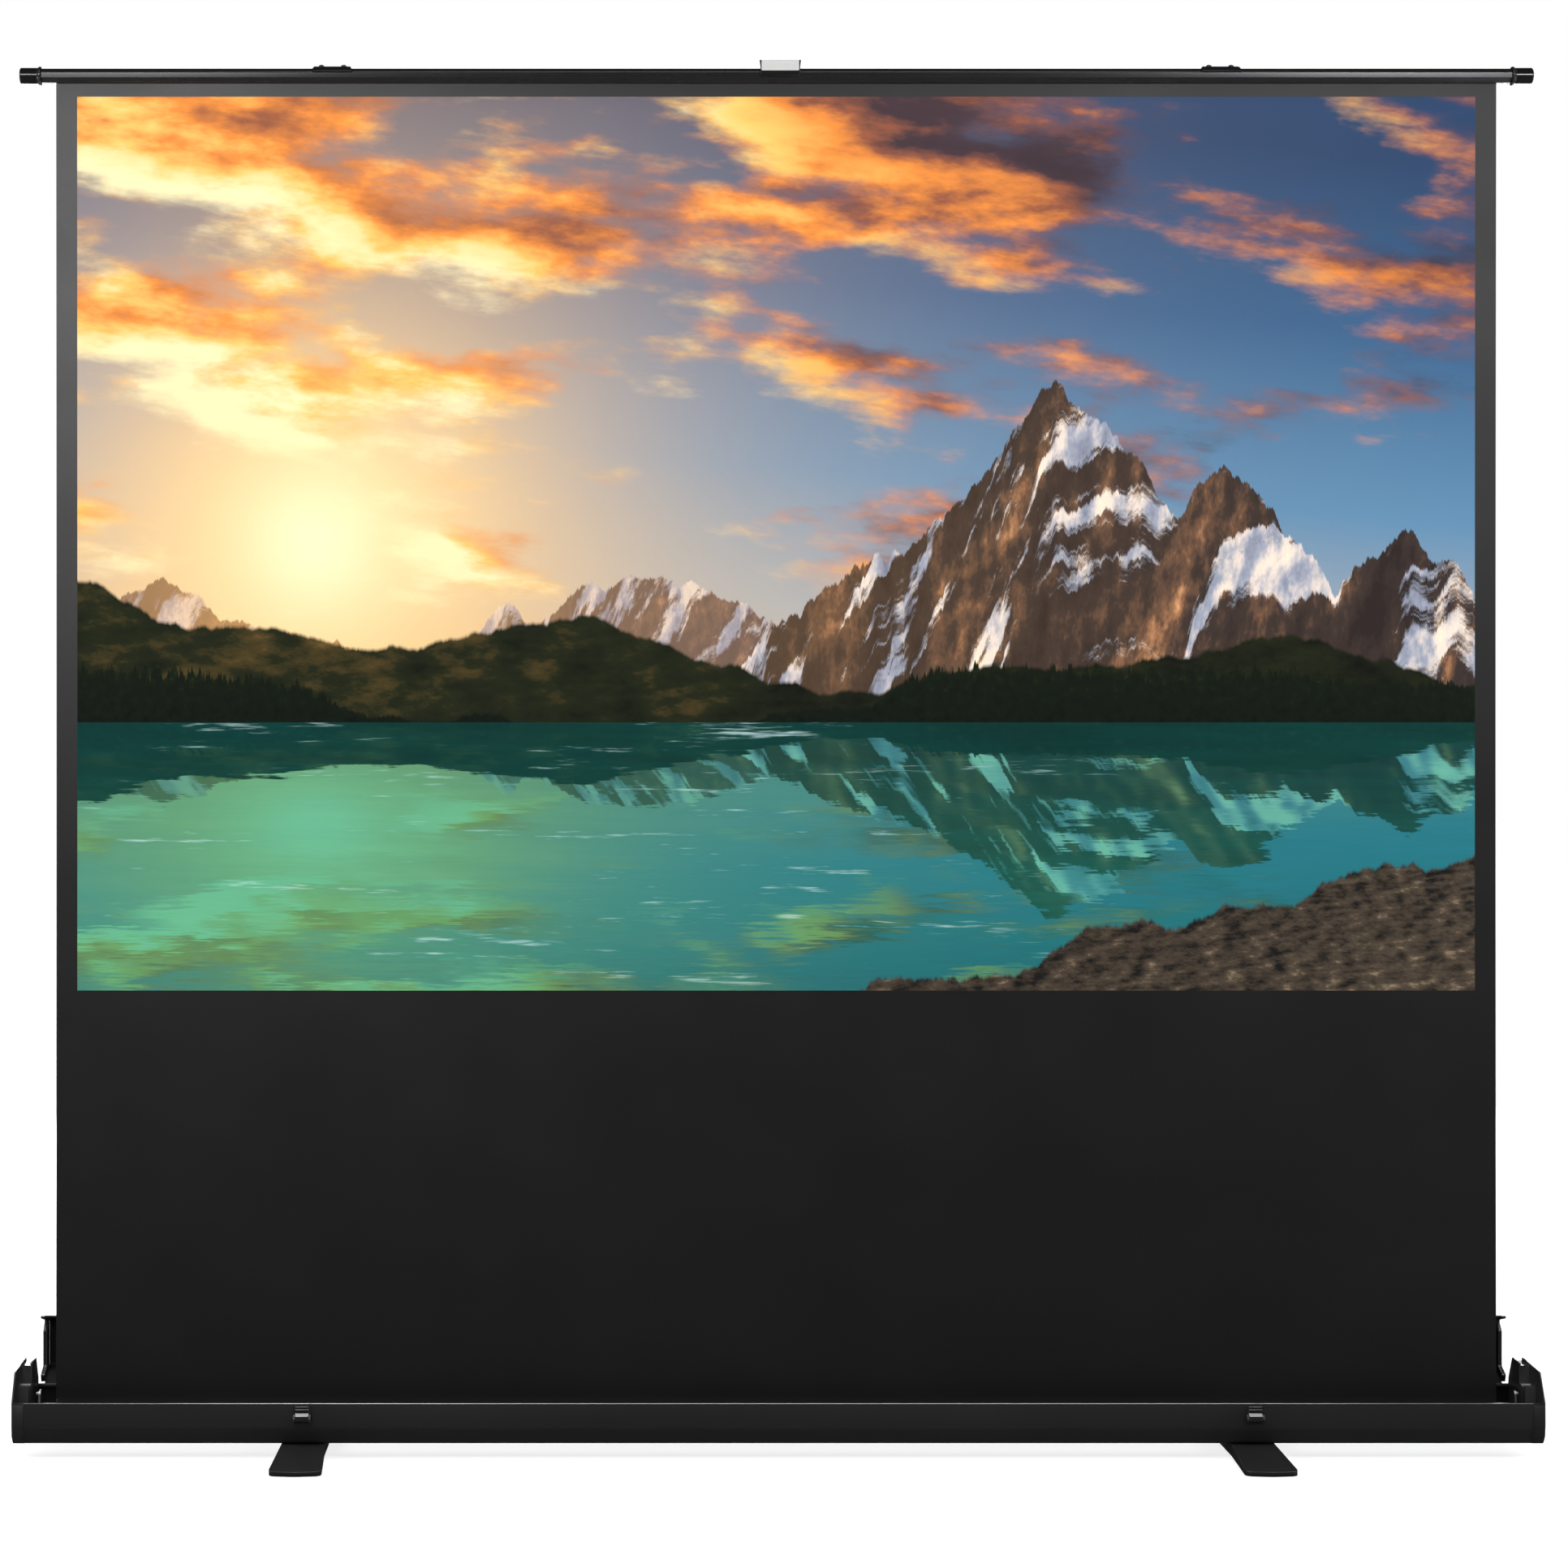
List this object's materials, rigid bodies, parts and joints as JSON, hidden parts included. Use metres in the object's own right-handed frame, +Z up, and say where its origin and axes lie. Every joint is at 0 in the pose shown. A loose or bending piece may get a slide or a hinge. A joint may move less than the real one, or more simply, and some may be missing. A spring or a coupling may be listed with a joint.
{
  "type": "pull up projection screen",
  "caption": "Floor-standing projection screen that pulls up out of a long case on a folding scissor frame, with swivel feet and an end-capped top bar.",
  "frame": {"origin": "on the floor, midway along the case, in the plane of the raised fabric", "axes": "+X along the case to the viewer's right, +Y from the viewing side to the back, +Z up"},
  "size_m": [2.32, 0.3588, 2.1251],
  "materials": {
    "black_case": "black anodised, satin",
    "black_plastic": "moulded, satin",
    "foot_plastic": "moulded, fine grain",
    "bar_metal": "dark anodised, satin",
    "zinc_steel": "zinc plated",
    "arm_metal": "dark anodised, satin",
    "screen_black": "smooth coated cloth, black border",
    "pad_rubber": "matt",
    "friction_fibre": "pressed fibre",
    "tube_aluminium": "as extruded"
  },
  "bodies": {
    "housing": {"base_trough": "black_case", "end_cap_left": "black_plastic", "end_cap_right": "black_plastic", "cap_screw_left_front": "zinc_steel", "cap_screw_left_rear": "zinc_steel", "cap_screw_right_front": "zinc_steel", "cap_screw_right_rear": "zinc_steel", "foot_pivot_left": "zinc_steel", "foot_pivot_right": "zinc_steel", "latch_base_left": "black_plastic", "latch_base_right": "black_plastic", "handle_mount_left": "black_plastic", "handle_mount_right": "black_plastic", "roller_bracket_left": "zinc_steel", "roller_bracket_right": "zinc_steel", "base_bracket_left": "arm_metal", "base_bracket_right": "arm_metal", "base_pin_left": "zinc_steel", "base_pin_right": "zinc_steel", "spring_shaft": "zinc_steel", "screen_fabric": "screen_black"},
    "roller": {"roller_tube": "tube_aluminium", "roller_plug_left": "black_plastic", "roller_plug_right": "black_plastic", "roller_spring": "zinc_steel", "wound_fabric": "screen_black"},
    "lid": {"lid_panel": "black_case", "lid_end_left": "black_plastic", "lid_end_right": "black_plastic"},
    "lower_link_left": {"lower_arm_left": "arm_metal", "knee_pin_left": "zinc_steel", "knee_washer_left": "friction_fibre"},
    "upper_link_left": {"upper_arm_left": "arm_metal"},
    "bar": {"top_bar": "bar_metal", "fabric_rod": "black_plastic", "bar_end_left": "black_plastic", "bar_end_right": "black_plastic", "pull_handle": "black_plastic", "arm_saddle_left": "bar_metal", "arm_saddle_right": "bar_metal", "saddle_screw_left_outer": "zinc_steel", "saddle_screw_left_inner": "zinc_steel", "saddle_screw_right_inner": "zinc_steel", "saddle_screw_right_outer": "zinc_steel", "top_pin_left": "zinc_steel"},
    "lower_link_right": {"lower_arm_right": "arm_metal", "knee_pin_right": "zinc_steel", "knee_washer_right": "friction_fibre"},
    "upper_link_right": {"upper_arm_right": "arm_metal", "top_pin_right": "zinc_steel"},
    "left_foot": {"foot_left": "foot_plastic", "foot_pad_left_front": "pad_rubber", "foot_pad_left_back": "pad_rubber"},
    "right_foot": {"foot_right": "foot_plastic", "foot_pad_right_front": "pad_rubber", "foot_pad_right_back": "pad_rubber"},
    "left_latch": {"latch_lever_left": "black_plastic"},
    "right_latch": {"latch_lever_right": "black_plastic"},
    "bail": {"carry_handle": "black_plastic"}
  },
  "joints": [
    {"name": "screen_raise", "type": "hinge", "parent": "housing", "child": "lower_link_left", "pos_m": [-0.679, 0.0285, 0.07], "axis": [0, -1, 0], "range_deg": [-61.9, 0], "deforming": ["screen_fabric"]},
    {"name": "knee_left", "type": "hinge", "parent": "lower_link_left", "child": "upper_link_left", "pos_m": [-0.14676, 0.0285, 1.0668], "axis": [0, -1, 0], "range_deg": [0, 124]},
    {"name": "bar_pivot", "type": "hinge", "parent": "upper_link_left", "child": "bar", "pos_m": [-0.679, 0.019, 2.06361], "axis": [0, -1, 0], "range_deg": [-62, 0]},
    {"name": "base_pivot_right", "type": "hinge", "parent": "housing", "child": "lower_link_right", "pos_m": [0.679, 0.0495, 0.07], "axis": [0, -1, 0], "range_deg": [0, 62]},
    {"name": "knee_right", "type": "hinge", "parent": "lower_link_right", "child": "upper_link_right", "pos_m": [0.14676, 0.0495, 1.0668], "axis": [0, -1, 0], "range_deg": [-124, 0]},
    {"name": "roller_spin", "type": "hinge", "parent": "housing", "child": "roller", "pos_m": [0, -0.02355, 0.052], "axis": [1, 0, 0], "range_deg": [-4620, 0]},
    {"name": "lid_hinge", "type": "hinge", "parent": "housing", "child": "lid", "pos_m": [0, 0.0672, 0.086], "axis": [1, 0, 0], "range_deg": [0, 8]},
    {"name": "foot_swivel_left", "type": "hinge", "parent": "housing", "child": "left_foot", "pos_m": [-0.72, 0, 0], "axis": [0, 0, 1], "range_deg": [0, 90]},
    {"name": "foot_swivel_right", "type": "hinge", "parent": "housing", "child": "right_foot", "pos_m": [0.72, 0, 0], "axis": [0, 0, 1], "range_deg": [-90, 0]},
    {"name": "latch_flip_left", "type": "hinge", "parent": "housing", "child": "left_latch", "pos_m": [-0.72, -0.06355, 0.0623], "axis": [1, 0, 0], "range_deg": [0, 60]},
    {"name": "latch_flip_right", "type": "hinge", "parent": "housing", "child": "right_latch", "pos_m": [0.72, -0.06355, 0.0623], "axis": [1, 0, 0], "range_deg": [0, 60]},
    {"name": "bail_swing", "type": "hinge", "parent": "housing", "child": "bail", "pos_m": [0, 0.0756, 0.067], "axis": [1, 0, 0], "range_deg": [0, 90]}
  ],
  "couplings": [
    {"joint": "knee_left", "follows": "screen_raise", "ratio": -2},
    {"joint": "bar_pivot", "follows": "screen_raise", "ratio": 1},
    {"joint": "base_pivot_right", "follows": "screen_raise", "ratio": -1},
    {"joint": "knee_right", "follows": "screen_raise", "ratio": 2},
    {"joint": "roller_spin", "follows": "screen_raise", "ratio": 74.4}
  ]
}
